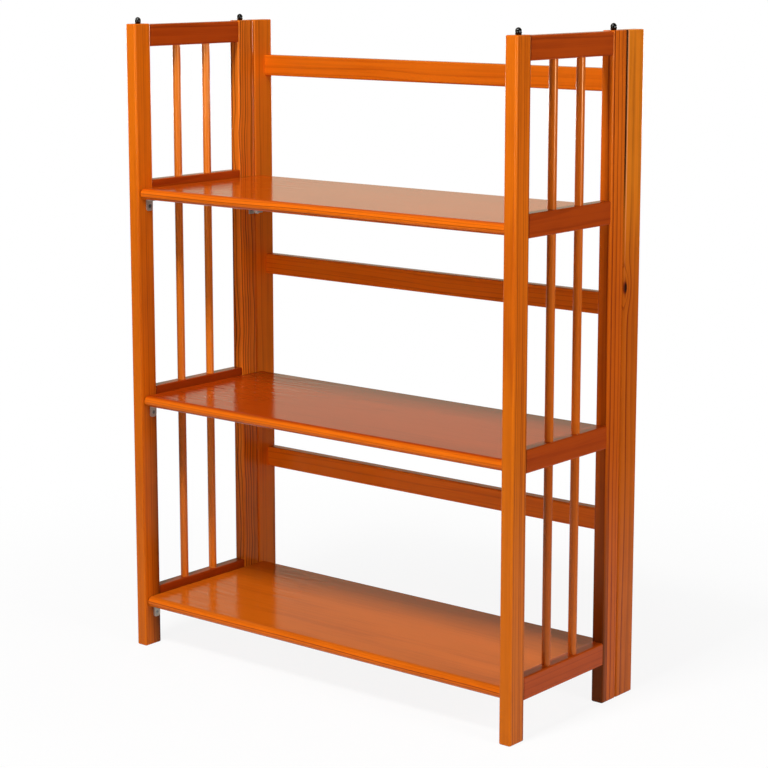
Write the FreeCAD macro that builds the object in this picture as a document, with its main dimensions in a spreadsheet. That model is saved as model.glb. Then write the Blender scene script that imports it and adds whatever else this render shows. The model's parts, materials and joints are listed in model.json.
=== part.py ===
"""Folding bookcase: a back frame, two spindle side frames on butt hinges and three shelves that flip up.

Millimetres, +Z up.  The origin is on the floor, in the middle of the width and the depth.
The open front faces -Y.  "Left" is -X and "right" is +X, as seen from the front.
"""
import FreeCAD, Part
import math
import os
import re
import Sketcher
from FreeCAD import Vector

# Driving dimensions, in millimetres.
SIZES = {
    # the whole bookcase
    "overall_width": 698.0,
    "overall_depth": 295.0,
    "post_height": 934.0,
    # posts
    "post_thickness": 19.0,
    "front_post_depth": 32.0,
    "rear_post_depth": 33.5,
    "back_post_depth": 41.0,
    "seam_gap": 1.0,
    "post_round": 3.0,
    "post_end_bevel": 1.2,
    # side-frame rails
    "rail_thickness": 18.0,
    "rail_height": 32.0,
    "rail_round": 2.0,
    "top_rail_drop": 1.0,
    "rail_lip": 11.5,
    "rail_tenon_length": 8.0,
    "rail_tenon_thickness": 9.0,
    "rail_tenon_height": 22.0,
    # spindles
    "spindle_diameter": 12.0,
    "spindle_socket": 8.0,
    # back slats
    "slat_thickness": 16.0,
    "slat_height": 31.5,
    "slat_setback": 1.0,
    "slat_rise": 185.0,
    "slat_round": 2.0,
    "slat_tenon_length": 10.0,
    "slat_tenon_thickness": 8.0,
    "slat_tenon_height": 22.0,
    # shelves
    "lowest_shelf_height": 76.0,
    "top_bay_height": 239.0,
    "shelf_thickness": 16.0,
    "shelf_setback": 4.0,
    "shelf_end_gap": 1.5,
    "shelf_tail": 5.0,
    "shelf_round": 2.0,
    # shelf pivots
    "pivot_inset": 6.0,
    "pivot_pin_diameter": 4.0,
    "pivot_pin_in_post": 10.0,
    "pivot_pin_in_shelf": 14.0,
    "pivot_play": 0.08,
    "pivot_bore_spare": 1.0,
    # stacking pins and their sockets
    "stacking_pin_diameter": 9.0,
    "stacking_pin_height": 9.5,
    "stacking_pin_shank": 7.0,
    "stacking_pin_depth": 18.0,
    "front_stacking_inset": 16.0,
    "rear_stacking_inset": 13.5,
    "stacking_socket_play": 0.3,
    "stacking_socket_spare": 2.5,
    # side-frame hinges
    "hinge_length": 38.0,
    "hinge_drop": 4.5,
    "leaf_width": 15.5,
    "leaf_thickness": 1.2,
    "knuckle_diameter": 6.0,
    "knuckle_gap": 0.2,
    "knuckle_clearance": 0.3,
    "hinge_pin_diameter": 3.0,
    "hinge_pin_play": 0.08,
    "hinge_pin_overhang": 0.8,
    "hinge_screw_inset": 5.0,
    "hinge_screw_margin": 8.0,
    # shelf supports
    "support_width": 12.0,
    "support_height": 17.5,
    "support_reach": 9.0,
    "support_thickness": 2.0,
    "support_round": 4.0,
    "support_inset": 22.5,
    "support_gap": 0.2,
    "support_screw_drop": 10.5,
    # wood screws
    "screw_diameter": 3.0,
    "screw_length": 11.0,
}

KNUCKLES = 3
SIDES = {"left": -1, "right": 1}
LEVELS = {"bottom": 0, "middle": 1, "top": 2}

# Places along Y that several pieces share, worked out from the driving dimensions.
FRONT = "(-overall_depth / 2)"
BACK_POST_FRONT = "(overall_depth / 2 - back_post_depth)"
REAR_POST_FRONT = "(overall_depth / 2 - back_post_depth - seam_gap - rear_post_depth)"
SEAM = "(overall_depth / 2 - back_post_depth - seam_gap / 2)"
PIVOT = f"({BACK_POST_FRONT} + pivot_inset)"
RAIL_SPAN = "(overall_depth - back_post_depth - seam_gap - rear_post_depth - front_post_depth)"

# Places along X, measured from the middle of the bookcase.
POST_MIDDLE = "(overall_width / 2 - post_thickness / 2)"
INNER_FACE = "(overall_width / 2 - post_thickness)"
HINGE_AXIS = f"({INNER_FACE} - knuckle_diameter / 2)"
SHELF_LENGTH = f"(2 * {INNER_FACE} - 2 * shelf_end_gap)"

# Heights.  The shelves divide the posts evenly between the lowest shelf and the bay above the top one.
SHELF_PITCH = "((post_height - top_bay_height - lowest_shelf_height) / 2)"
TOP_RAIL_BOTTOM = "(post_height - top_rail_drop - rail_height)"


def shelf_height(level):
    """Height of the upper face of a shelf, counted from the bottom one."""
    return f"(lowest_shelf_height + {level} * {SHELF_PITCH})"


def pivot_height(level):
    return f"({shelf_height(level)} - shelf_thickness / 2)"


def rail_bottom(level):
    """Height of the underside of the side rail beside a shelf."""
    return f"({shelf_height(level)} + rail_lip - rail_height)"


def slat_bottom(level):
    return f"({shelf_height(level)} + slat_rise - slat_height)"


def hinge_bottom(level):
    return f"({shelf_height(level)} - shelf_thickness - hinge_drop - hinge_length)"


def support_top(level):
    return f"({shelf_height(level)} - shelf_thickness - support_gap)"


doc = FreeCAD.newDocument("FoldingBookcase")
sheet = doc.addObject("Spreadsheet::Sheet", "Sizes")
for row, (alias, value) in enumerate(SIZES.items(), start=1):
    sheet.set(f"A{row}", alias.replace("_", " "))
    sheet.set(f"B{row}", str(value))
    sheet.setAlias(f"B{row}", alias)
doc.recompute()

pieces = []
checked_steps = []


def bound(text):
    """The expression that reads the named sizes in text from the sheet."""
    return re.sub(r"[a-z_]+", lambda word: f"Sizes.{word.group()}", text)


def bind(item, path, text):
    item.setExpression(path, bound(text))


def value_of(text):
    """What an expression of named sizes comes to; a sketch starts from it, and is then bound."""
    return float(pieces[-1].evalExpression(bound(text)))


# --- making a sub-part -------------------------------------------------------------------------

def new_body(label, x="0", y="0", z="0"):
    """A sub-part, with its own origin placed in the bookcase."""
    body = doc.addObject("PartDesign::Body", label)
    body.Label = label
    for axis, text in zip("xyz", (x, y, z)):
        bind(body, f"Placement.Base.{axis}", text)
    pieces.append(body)
    return body


def origin_feature(body, role):
    return next(item for item in body.Origin.OriginFeatures if item.Role == role)


def new_sketch(body, plane, x="0", y="0", z="0"):
    """A sketch on a plane of the body's origin, shifted in the plane by x, y and off it by z."""
    sketch = body.newObject("Sketcher::SketchObject", "Sketch")
    sketch.AttachmentSupport = [(origin_feature(body, plane), "")]
    sketch.MapMode = "FlatFace"
    for axis, text in zip("xyz", (x, y, z)):
        if text != "0":
            bind(sketch, f"AttachmentOffset.Base.{axis}", text)
    return sketch


def fix_point(sketch, line, end, x, y):
    """Holds one end of a line, or a circle's centre, at a bound place."""
    for kind, text in (("DistanceX", x), ("DistanceY", y)):
        index = sketch.addConstraint(Sketcher.Constraint(kind, line, end, value_of(text)))
        bind(sketch, f"Constraints[{index}]", text)


def outline(sketch, points, dome=None):
    """A closed outline of straight lines through bound points.

    The side that starts at the point numbered dome is a quarter circle about the sketch's Y axis.
    """
    first = sketch.GeometryCount
    corners = [Vector(value_of(x), value_of(y), 0) for x, y in points]
    for index, start in enumerate(corners):
        side = Part.LineSegment(start, corners[(index + 1) % len(corners)])
        if index == dome:
            whole = Part.Circle(Vector(0, start.y, 0), Vector(0, 0, 1), start.x)
            side = Part.ArcOfCircle(whole, 0, math.pi / 2)
        sketch.addGeometry(side, False)
    for index, (x, y) in enumerate(points):
        before = first + (index - 1) % len(points)
        sketch.addConstraint(Sketcher.Constraint("Coincident", before, 2, first + index, 1))
        fix_point(sketch, first + index, 1, x, y)
    if dome is not None:
        sketch.addConstraint(Sketcher.Constraint("PointOnObject", first + dome, 3, -2))


def rectangle(sketch, x_low, x_high, y_low, y_high):
    outline(sketch, [(x_low, y_low), (x_high, y_low), (x_high, y_high), (x_low, y_high)])


def circle(sketch, x, y, diameter):
    centre = Vector(value_of(x), value_of(y), 0)
    index = sketch.addGeometry(Part.Circle(centre, Vector(0, 0, 1), value_of(diameter) / 2), False)
    fix_point(sketch, index, 3, x, y)
    size = sketch.addConstraint(Sketcher.Constraint("Diameter", index, value_of(diameter)))
    bind(sketch, f"Constraints[{size}]", diameter)


def extrude(body, sketch, length, backwards=False):
    """Adds a pad; it grows along the sketch's normal, or against it when backwards."""
    pad = body.newObject("PartDesign::Pad", "Pad")
    pad.Profile = sketch
    pad.Reversed = backwards
    bind(pad, "Length", length)
    checked_steps.append(pad)


def cut(body, sketch, depth, along_normal=False):
    """Takes away a pocket; it runs against the sketch's normal unless told otherwise."""
    pocket = body.newObject("PartDesign::Pocket", "Pocket")
    pocket.Profile = sketch
    pocket.Reversed = along_normal
    bind(pocket, "Length", depth)
    checked_steps.append(pocket)


def turn(body, sketch, axis="V_Axis", kind="Revolution"):
    """A Revolution adds the turned sketch, and a Groove takes it away."""
    turned = body.newObject(f"PartDesign::{kind}", kind)
    turned.Profile = sketch
    turned.ReferenceAxis = (sketch, [axis])
    turned.Angle = 360
    checked_steps.append(turned)


def dress_edges(body, kind, measure, size, chosen):
    """Adds a Fillet or Chamfer to the edges of the body so far for which chosen(edge) is true."""
    doc.recompute()
    base = body.Tip
    names = [f"Edge{number}" for number, edge in enumerate(base.Shape.Edges, start=1) if chosen(edge)]
    dressing = body.newObject(f"PartDesign::{kind}", kind)
    dressing.Base = (base, names)
    bind(dressing, measure, size)
    checked_steps.append(dressing)


def round_edges(body, radius, chosen):
    dress_edges(body, "Fillet", "Radius", radius, chosen)


def bevel_edges(body, width, chosen):
    dress_edges(body, "Chamfer", "Size", width, chosen)


def runs_along(axis):
    """Chooses straight edges that run along an axis."""
    def chosen(edge):
        if not isinstance(edge.Curve, Part.Line):
            return False
        return abs(abs(getattr(edge.Curve.Direction, axis)) - 1) < 1e-6
    return chosen


def lies_at(axis, *places):
    """Chooses edges that lie in one of the planes across an axis."""
    def chosen(edge):
        low = getattr(edge.BoundBox, axis + "Min")
        high = getattr(edge.BoundBox, axis + "Max")
        return any(abs(low - place) < 1e-4 and abs(high - place) < 1e-4 for place in places)
    return chosen


def repeat(body, axis, spacing, count):
    """Repeats the whole body so far along one of its axes."""
    doc.recompute()
    pattern = body.newObject("PartDesign::LinearPattern", "LinearPattern")
    pattern.TransformMode = "Whole shape"
    pattern.Direction = (origin_feature(body, axis), [""])
    pattern.Mode = "Spacing"
    bind(pattern, "Offset", spacing)
    pattern.Occurrences = count
    body.Tip = pattern
    checked_steps.append(pattern)


def repeat_at_shelves(body):
    repeat(body, "Z_Axis", SHELF_PITCH, len(LEVELS))


# --- posts -------------------------------------------------------------------------------------

def plain_post(label, side, depth, y):
    """A rounded post.  Its origin is at the foot, in the middle of its thickness, on its front face."""
    body = new_body(label, x=f"{side} * {POST_MIDDLE}", y=y)
    section = new_sketch(body, "XY_Plane")
    rectangle(section, "-post_thickness / 2", "post_thickness / 2", "0", depth)
    extrude(body, section, "post_height")
    round_edges(body, "post_round", runs_along("z"))
    bevel_edges(body, "post_end_bevel", lies_at("Z", 0, sheet.post_height))
    return body


def bore_inner_face(body, side, depth, holes):
    """Blind bores from the face of a post that looks into the bookcase; holes are (y, z, diameter)."""
    sketch = new_sketch(body, "YZ_Plane", z=f"{-side} * post_thickness / 2")
    for y, z, diameter in holes:
        circle(sketch, y, z, diameter)
    cut(body, sketch, depth, along_normal=side > 0)


def mortise_rails(body, mouth, along_normal):
    """The four blind mortises for the side rails, in the face of a post at local y = mouth."""
    sketch = new_sketch(body, "XZ_Plane", z=f"-({mouth})")
    half = "rail_tenon_thickness / 2"
    spare = "(rail_height - rail_tenon_height) / 2"
    for bottom in (rail_bottom(0), rail_bottom(1), rail_bottom(2), TOP_RAIL_BOTTOM):
        low = f"{bottom} + {spare}"
        rectangle(sketch, f"-{half}", half, low, f"{low} + rail_tenon_height")
    cut(body, sketch, "rail_tenon_length", along_normal)


def stacking_holes(body, y):
    """The seat of the stacking pin in the top of a post, and the socket in its foot."""
    seat = new_sketch(body, "XY_Plane", z="post_height")
    circle(seat, "0", y, "stacking_pin_shank")
    cut(body, seat, "stacking_pin_depth")
    socket = new_sketch(body, "XY_Plane")
    circle(socket, "0", y, "stacking_pin_diameter + 2 * stacking_socket_play")
    cut(body, socket, "stacking_pin_height + stacking_socket_spare", along_normal=True)


def hinge_screw_heights(level):
    low = f"{hinge_bottom(level)} + hinge_screw_margin"
    high = f"{hinge_bottom(level)} + hinge_length - hinge_screw_margin"
    return low, high


def hinge_pilots(y):
    """Pilot holes for the screws of the three hinges on one post, at local y."""
    return [(y, z, "screw_diameter") for level in LEVELS.values() for z in hinge_screw_heights(level)]


def back_post(name, side):
    body = plain_post(f"back_post_{name}", side, "back_post_depth", BACK_POST_FRONT)
    inner = new_sketch(body, "YZ_Plane", z=f"{-side} * post_thickness / 2")
    behind = "back_post_depth - slat_setback - slat_thickness / 2"
    for level in LEVELS.values():
        low = f"{slat_bottom(level)} + (slat_height - slat_tenon_height) / 2"
        rectangle(inner, f"{behind} - slat_tenon_thickness / 2", f"{behind} + slat_tenon_thickness / 2",
                  low, f"{low} + slat_tenon_height")
    cut(body, inner, "slat_tenon_length", along_normal=side > 0)
    pivots = [("pivot_inset", pivot_height(level), "pivot_pin_diameter") for level in LEVELS.values()]
    bore_inner_face(body, side, "pivot_pin_in_post", pivots)
    screw_y = "leaf_width - hinge_screw_inset - seam_gap / 2"
    bore_inner_face(body, side, "screw_length - leaf_thickness", hinge_pilots(screw_y))


def side_posts(name, side):
    front = plain_post(f"{name}_front_post", side, "front_post_depth", FRONT)
    mortise_rails(front, "front_post_depth", along_normal=True)
    stacking_holes(front, "front_stacking_inset")
    screws = [("support_inset", f"{support_top(level)} - support_screw_drop", "screw_diameter")
              for level in LEVELS.values()]
    bore_inner_face(front, side, "screw_length - support_thickness", screws)

    rear = plain_post(f"{name}_rear_post", side, "rear_post_depth", REAR_POST_FRONT)
    mortise_rails(rear, "0", along_normal=False)
    stacking_holes(rear, "rear_stacking_inset")
    screw_y = "rear_post_depth + seam_gap / 2 - leaf_width + hinge_screw_inset"
    bore_inner_face(rear, side, "screw_length - leaf_thickness", hinge_pilots(screw_y))


# --- side rails and spindles -------------------------------------------------------------------

def spindle_places():
    """Distances of the two spindles behind the front post: a third and two thirds of the span."""
    return [f"({number} * {RAIL_SPAN} / 3)" for number in (1, 2)]


def side_rail(label, side, bottom, socket_above, socket_below):
    """A rail.  Its origin is in the middle of its thickness, at its front shoulder and underside."""
    body = new_body(label, x=f"{side} * {POST_MIDDLE}", y=f"{FRONT} + front_post_depth", z=bottom)
    section = new_sketch(body, "XZ_Plane")
    rectangle(section, "-rail_thickness / 2", "rail_thickness / 2", "0", "rail_height")
    extrude(body, section, RAIL_SPAN, backwards=True)
    round_edges(body, "rail_round", runs_along("y"))
    tenon = new_sketch(body, "XZ_Plane", z="rail_tenon_length")
    low = "(rail_height - rail_tenon_height) / 2"
    rectangle(tenon, "-rail_tenon_thickness / 2", "rail_tenon_thickness / 2",
              low, f"{low} + rail_tenon_height")
    extrude(body, tenon, f"{RAIL_SPAN} + 2 * rail_tenon_length", backwards=True)
    if socket_above:
        mouths = new_sketch(body, "XY_Plane", z="rail_height")
        for y in spindle_places():
            circle(mouths, "0", y, "spindle_diameter")
        cut(body, mouths, "spindle_socket")
    if socket_below:
        mouths = new_sketch(body, "XY_Plane")
        for y in spindle_places():
            circle(mouths, "0", y, "spindle_diameter")
        cut(body, mouths, "spindle_socket", along_normal=True)


def side_rails(name, side):
    side_rail(f"{name}_lower_rail", side, rail_bottom(0), socket_above=True, socket_below=False)
    side_rail(f"{name}_middle_rail", side, rail_bottom(1), socket_above=True, socket_below=True)
    side_rail(f"{name}_upper_rail", side, rail_bottom(2), socket_above=True, socket_below=True)
    side_rail(f"{name}_top_rail", side, TOP_RAIL_BOTTOM, socket_above=False, socket_below=True)


def spindle(label, side, y, low, high):
    """A plain dowel between the faces of two rails, with its ends let into their sockets."""
    body = new_body(label, x=f"{side} * {POST_MIDDLE}", y=f"{FRONT} + front_post_depth + {y}",
                    z=f"{low} - spindle_socket")
    half_profile = new_sketch(body, "XZ_Plane")
    rectangle(half_profile, "0", "spindle_diameter / 2", "0", f"{high} - {low} + 2 * spindle_socket")
    turn(body, half_profile)


def spindles(name, side):
    bays = {
        "lower": (f"({rail_bottom(0)} + rail_height)", rail_bottom(1)),
        "middle": (f"({rail_bottom(1)} + rail_height)", rail_bottom(2)),
        "upper": (f"({rail_bottom(2)} + rail_height)", TOP_RAIL_BOTTOM),
    }
    for bay, (low, high) in bays.items():
        for place, y in zip(("front", "rear"), spindle_places()):
            spindle(f"{name}_{bay}_{place}_spindle", side, y, low, high)


# --- back slats --------------------------------------------------------------------------------

def back_slat(name, level):
    """A slat.  Its origin is on its front face and underside, in the middle of its length."""
    body = new_body(f"back_slat_{name}", y="overall_depth / 2 - slat_setback - slat_thickness",
                    z=slat_bottom(level))
    section = new_sketch(body, "YZ_Plane", z=f"-{INNER_FACE}")
    rectangle(section, "0", "slat_thickness", "0", "slat_height")
    extrude(body, section, f"2 * {INNER_FACE}")
    round_edges(body, "slat_round", runs_along("x"))
    tenon = new_sketch(body, "YZ_Plane", z=f"-{INNER_FACE} - slat_tenon_length")
    rectangle(tenon, "(slat_thickness - slat_tenon_thickness) / 2",
              "(slat_thickness + slat_tenon_thickness) / 2",
              "(slat_height - slat_tenon_height) / 2", "(slat_height + slat_tenon_height) / 2")
    extrude(body, tenon, f"2 * {INNER_FACE} + 2 * slat_tenon_length")


# --- shelves and their pivots ------------------------------------------------------------------

def shelf(name, level):
    """A shelf with a full round nose.  Its origin is on its pivot axis, in the middle of its length."""
    body = new_body(f"shelf_{name}", y=PIVOT, z=pivot_height(level))
    nose_y = f"({FRONT} + shelf_setback + shelf_thickness / 2 - {PIVOT})"
    board = new_sketch(body, "YZ_Plane", z=f"-{SHELF_LENGTH} / 2")
    rectangle(board, nose_y, "shelf_tail", "-shelf_thickness / 2", "shelf_thickness / 2")
    extrude(body, board, SHELF_LENGTH)
    long_edge = runs_along("x")
    rear_edge = lies_at("Y", sheet.shelf_tail)
    round_edges(body, "shelf_round", lambda edge: long_edge(edge) and rear_edge(edge))
    nose = new_sketch(body, "YZ_Plane", z=f"-{SHELF_LENGTH} / 2")
    circle(nose, nose_y, "0", "shelf_thickness")
    extrude(body, nose, SHELF_LENGTH)
    for side in SIDES.values():
        bore = new_sketch(body, "YZ_Plane", z=f"{side} * {SHELF_LENGTH} / 2")
        circle(bore, "0", "0", "pivot_pin_diameter + 2 * pivot_play")
        cut(body, bore, "pivot_pin_in_shelf + pivot_bore_spare", along_normal=side < 0)


def pivot_pins(name, level):
    """The pair of steel pins that one shelf turns on, fast in the back posts."""
    body = new_body(f"shelf_pivot_pins_{name}", y=PIVOT, z=pivot_height(level))
    inner_end = f"({INNER_FACE} - shelf_end_gap - pivot_pin_in_shelf)"
    outer_end = f"({INNER_FACE} + pivot_pin_in_post)"
    section = new_sketch(body, "YZ_Plane", z=inner_end)
    circle(section, "0", "0", "pivot_pin_diameter")
    extrude(body, section, f"{outer_end} - {inner_end}")
    doc.recompute()
    right_pin = body.Tip
    pair = body.newObject("PartDesign::Mirrored", "Mirrored")
    pair.Originals = [right_pin]
    pair.MirrorPlane = (origin_feature(body, "YZ_Plane"), [""])
    body.Tip = pair
    checked_steps.append(pair)


# --- stacking pins -----------------------------------------------------------------------------

def stacking_pins(name, side):
    """The two pins of a side frame: a shank driven into each post, and a head with a half-ball top.

    The origin is on the front post's upper face, on the axis of its pin.
    """
    front = f"({FRONT} + front_stacking_inset)"
    body = new_body(f"stacking_pins_{name}", x=f"{side} * {POST_MIDDLE}", y=front, z="post_height")
    shank, head = "stacking_pin_shank / 2", "stacking_pin_diameter / 2"
    profile = new_sketch(body, "XZ_Plane")
    outline(profile, [
        ("0", "-stacking_pin_depth"),
        (shank, "-stacking_pin_depth"),
        (shank, "0"),
        (head, "0"),
        (head, f"stacking_pin_height - {head}"),
        ("0", "stacking_pin_height"),
    ], dome=4)
    turn(body, profile)
    repeat(body, "Y_Axis", f"{REAR_POST_FRONT} + rear_stacking_inset - {front}", 2)


# --- screws ------------------------------------------------------------------------------------

def screw_profile(sketch, inward):
    """Half of a countersunk screw about the sketch's own X axis, with its head at x = 0.

    inward is +1 or -1: the way in which the screw is driven.  Its 45 degree head is as deep as
    a hinge leaf, and a plate gets the hole that fits it from the same outline.
    """
    shank = "screw_diameter / 2"
    outline(sketch, [
        ("0", "0"),
        ("0", f"{shank} + leaf_thickness"),
        (f"{inward} * leaf_thickness", shank),
        (f"{inward} * screw_length", shank),
        (f"{inward} * screw_length", "0"),
    ])


# --- side-frame hinges -------------------------------------------------------------------------

def knuckle_height(number):
    return f"{number} * hinge_length / {KNUCKLES} + knuckle_gap / 2"


def hinge_leaves(label, side, reach, bore, knuckles):
    """The three leaves on one post.  The origin is on the hinge axis, at the lowest leaf's foot.

    side is the side of the bookcase, and reach is +1 for a leaf that runs back from the axis
    over the back post and -1 for one that runs forward over the side frame's rear post.
    """
    body = new_body(label, x=f"{side} * {HINGE_AXIS}", y=SEAM, z=hinge_bottom(0))
    wood = f"{side} * knuckle_diameter / 2"
    face = f"{side} * (knuckle_diameter / 2 - leaf_thickness)"
    edge = f"{reach} * (knuckle_diameter / 2 + knuckle_clearance)"
    plate = new_sketch(body, "XY_Plane")
    rectangle(plate, face, wood, edge, f"{reach} * leaf_width")
    extrude(body, plate, "hinge_length")
    for number in knuckles:
        web = new_sketch(body, "XY_Plane", z=knuckle_height(number))
        rectangle(web, face, wood, "0", f"{edge} + {reach} * leaf_thickness")
        extrude(body, web, f"hinge_length / {KNUCKLES} - knuckle_gap")
        barrel = new_sketch(body, "XY_Plane", z=knuckle_height(number))
        circle(barrel, "0", "0", "knuckle_diameter")
        extrude(body, barrel, f"hinge_length / {KNUCKLES} - knuckle_gap")
    pin_hole = new_sketch(body, "XY_Plane")
    circle(pin_hole, "0", "0", bore)
    cut(body, pin_hole, "hinge_length", along_normal=True)
    for z in ("hinge_screw_margin", "(hinge_length - hinge_screw_margin)"):
        hole = new_sketch(body, "XY_Plane", x=face, y=f"{reach} * (leaf_width - hinge_screw_inset)", z=z)
        screw_profile(hole, side)
        turn(body, hole, axis="H_Axis", kind="Groove")
    repeat_at_shelves(body)


def hinge_screws(label, side, reach):
    """The six countersunk screws that hold three leaves to one post."""
    body = new_body(label, x=f"{side} * ({INNER_FACE} - leaf_thickness)",
                    y=f"{SEAM} + {reach} * (leaf_width - hinge_screw_inset)",
                    z=f"{hinge_bottom(0)} + hinge_screw_margin")
    lower = new_sketch(body, "XY_Plane")
    screw_profile(lower, side)
    turn(body, lower, axis="H_Axis")
    upper = new_sketch(body, "XY_Plane", z="hinge_length - 2 * hinge_screw_margin")
    screw_profile(upper, side)
    turn(body, upper, axis="H_Axis")
    repeat_at_shelves(body)


def hinge_pins(label, side):
    body = new_body(label, x=f"{side} * {HINGE_AXIS}", y=SEAM, z=hinge_bottom(0))
    section = new_sketch(body, "XY_Plane", z="-hinge_pin_overhang")
    circle(section, "0", "0", "hinge_pin_diameter")
    extrude(body, section, "hinge_length + 2 * hinge_pin_overhang")
    repeat_at_shelves(body)


def side_hinges(name, side):
    back_knuckles = range(0, KNUCKLES, 2)
    side_knuckles = range(1, KNUCKLES, 2)
    hinge_leaves(f"hinge_back_leaves_{name}", side, 1, "hinge_pin_diameter", back_knuckles)
    hinge_leaves(f"hinge_side_leaves_{name}", side, -1, "hinge_pin_diameter + 2 * hinge_pin_play",
                 side_knuckles)
    hinge_pins(f"hinge_pins_{name}", side)
    hinge_screws(f"hinge_back_screws_{name}", side, 1)
    hinge_screws(f"hinge_side_screws_{name}", side, -1)


# --- shelf supports ----------------------------------------------------------------------------

def shelf_support(name, side, level_name, level):
    """A pressed angle.  Its origin is on the post's inner face, under the middle of its tab's top."""
    body = new_body(f"shelf_support_{name}_{level_name}", x=f"{side} * {INNER_FACE}",
                    y=f"{FRONT} + support_inset", z=support_top(level))
    into = -side
    profile = new_sketch(body, "XZ_Plane", z="support_width / 2")
    outline(profile, [
        ("0", "0"),
        (f"{into} * support_reach", "0"),
        (f"{into} * support_reach", "-support_thickness"),
        (f"{into} * support_thickness", "-support_thickness"),
        (f"{into} * support_thickness", "-support_height"),
        ("0", "-support_height"),
    ])
    extrude(body, profile, "support_width", backwards=True)
    across, upright = runs_along("x"), runs_along("z")
    foot = lies_at("Z", -sheet.support_height)
    tip = lies_at("X", into * sheet.support_reach)
    round_edges(body, "support_round",
                lambda edge: (across(edge) and foot(edge)) or (upright(edge) and tip(edge)))
    hole = new_sketch(body, "XZ_Plane", x=f"{into} * support_thickness", y="-support_screw_drop")
    screw_profile(hole, side)
    turn(body, hole, axis="H_Axis", kind="Groove")


def support_screws(name, side):
    body = new_body(f"support_screws_{name}", x=f"{side} * ({INNER_FACE} - support_thickness)",
                    y=f"{FRONT} + support_inset", z=f"{support_top(0)} - support_screw_drop")
    profile = new_sketch(body, "XY_Plane")
    screw_profile(profile, side)
    turn(body, profile, axis="H_Axis")
    repeat_at_shelves(body)


# --- the whole bookcase ------------------------------------------------------------------------

for side_name, side_sign in SIDES.items():
    back_post(side_name, side_sign)
for level_name, level_number in LEVELS.items():
    back_slat(level_name, level_number)
    shelf(level_name, level_number)
    pivot_pins(level_name, level_number)
for side_name, side_sign in SIDES.items():
    side_posts(side_name, side_sign)
    side_rails(side_name, side_sign)
    spindles(side_name, side_sign)
    stacking_pins(side_name, side_sign)
    side_hinges(side_name, side_sign)
    for level_name, level_number in LEVELS.items():
        shelf_support(side_name, side_sign, level_name, level_number)
    support_screws(side_name, side_sign)
doc.recompute()


def check_model():
    """Stops unless every step built, each pad added and each cut removed material."""
    for item in doc.Objects:
        if "Invalid" in item.State or "Error" in item.State:
            raise RuntimeError(f"{item.Name} did not build: {item.State}")
    for step in checked_steps:
        before = step.BaseFeature.Shape.Volume if step.BaseFeature else 0.0
        after = step.Shape.Volume
        removes = step.TypeId.split("::")[1] in ("Pocket", "Groove", "Fillet", "Chamfer")
        changed = before - after if removes else after - before
        if changed < 1e-3:
            raise RuntimeError(f"{step.Name} of {step.getParent()} changed nothing")
    for body in pieces:
        if body.Shape.isNull() or not body.Shape.isValid():
            raise RuntimeError(f"{body.Label} has no valid shape")


check_model()
os.makedirs("parts", exist_ok=True)
for body in pieces:
    body.Shape.exportStep(f"parts/{body.Label}.step")
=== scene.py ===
"""A folding bookcase in stained pine: three shelves between spindle side frames, hinged to a slatted back.

Metres, +Z up, as the frame is.  The origin is on the floor, in the middle, and the open front faces -Y.
What a joiner would measure is written in mm and turned into metres by MM.
"""

import json
import math

import bpy
from mathutils import Euler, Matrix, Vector

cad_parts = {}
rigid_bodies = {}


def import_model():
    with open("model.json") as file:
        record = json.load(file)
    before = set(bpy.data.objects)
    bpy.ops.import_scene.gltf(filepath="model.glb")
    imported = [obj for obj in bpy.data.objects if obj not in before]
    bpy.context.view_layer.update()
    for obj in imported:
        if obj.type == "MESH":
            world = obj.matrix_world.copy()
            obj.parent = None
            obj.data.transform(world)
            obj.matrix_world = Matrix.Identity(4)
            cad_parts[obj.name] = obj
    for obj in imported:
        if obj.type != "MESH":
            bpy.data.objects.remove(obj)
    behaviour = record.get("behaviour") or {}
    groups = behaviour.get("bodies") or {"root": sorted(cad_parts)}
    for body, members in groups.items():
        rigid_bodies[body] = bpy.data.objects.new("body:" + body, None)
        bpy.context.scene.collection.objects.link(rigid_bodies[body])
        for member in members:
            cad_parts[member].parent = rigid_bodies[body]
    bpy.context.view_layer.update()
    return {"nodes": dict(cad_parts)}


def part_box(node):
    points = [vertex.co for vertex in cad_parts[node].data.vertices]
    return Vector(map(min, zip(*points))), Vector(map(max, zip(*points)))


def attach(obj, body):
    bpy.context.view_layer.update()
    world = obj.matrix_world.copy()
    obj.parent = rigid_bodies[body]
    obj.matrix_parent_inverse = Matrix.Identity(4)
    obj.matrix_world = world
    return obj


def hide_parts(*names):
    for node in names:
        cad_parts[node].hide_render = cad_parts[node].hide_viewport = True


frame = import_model()
nodes = frame["nodes"]

SIDES = {"left": -1, "right": 1}
LEVELS = ("bottom", "middle", "top")
BAYS = ("lower", "middle", "upper")
MM = 0.001


# ---------------------------------------------------------------- node trees


def stain(red, green, blue):
    """A colour as a paint chart gives it, in steps of 255, turned into the renderer's linear light."""
    steps = [c / 255 for c in (red, green, blue)]
    return [c / 12.92 if c <= 0.04045 else ((c + 0.055) / 1.055) ** 2.4 for c in steps] + [1.0]


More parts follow.
